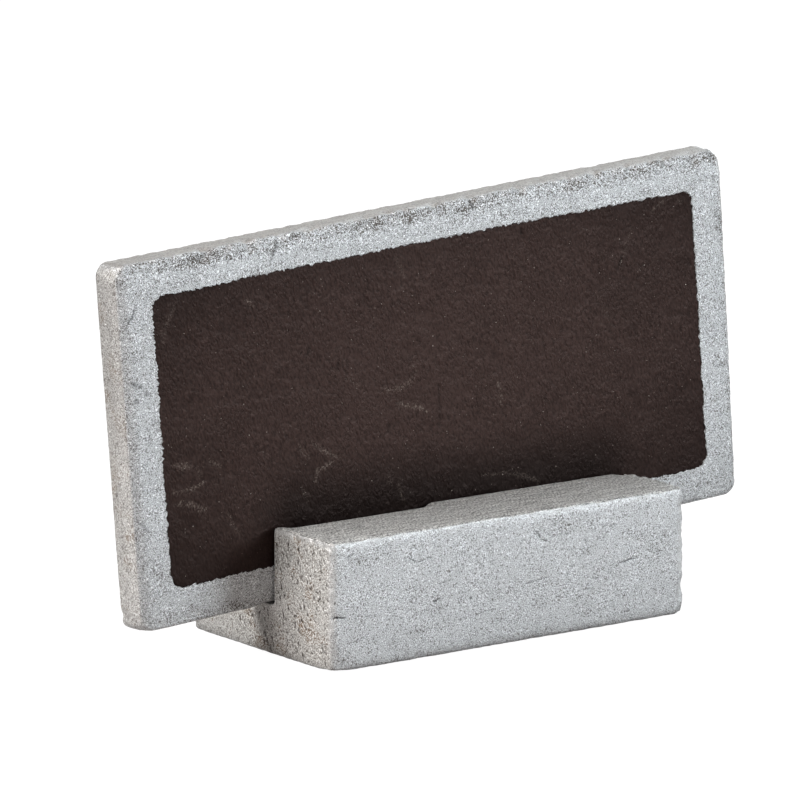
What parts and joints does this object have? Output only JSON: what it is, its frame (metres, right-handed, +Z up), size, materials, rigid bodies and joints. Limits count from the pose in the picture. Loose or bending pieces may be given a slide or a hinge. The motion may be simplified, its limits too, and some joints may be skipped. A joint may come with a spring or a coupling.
{
  "type": "place card holder",
  "caption": "Rectangular chalkboard plate in granular silver paint, standing in the open-ended groove of a low wood block; the plate lifts out of the groove.",
  "frame": {"origin": "centre of the block's flat underside", "axes": "+X along the block's length and the groove, to the right of someone reading the chalkboard; the chalkboard faces -Y; +Z up"},
  "size_m": [0.1024, 0.0322, 0.06],
  "materials": {
    "silver_painted_wood": "granular silver paint over rough sawn wood",
    "chalkboard_coat": "matte brown-black chalkboard coat with faint chalk marks"
  },
  "bodies": {
    "base": {"base_block": "silver_painted_wood"},
    "plate": {"board": "silver_painted_wood", "chalkboard_panel": "chalkboard_coat"}
  },
  "joints": [
    {"name": "board_lift", "type": "slide", "parent": "base", "child": "plate", "axis": [0, 0.0328, 0.9995], "range_m": [0, 0.026]}
  ]
}
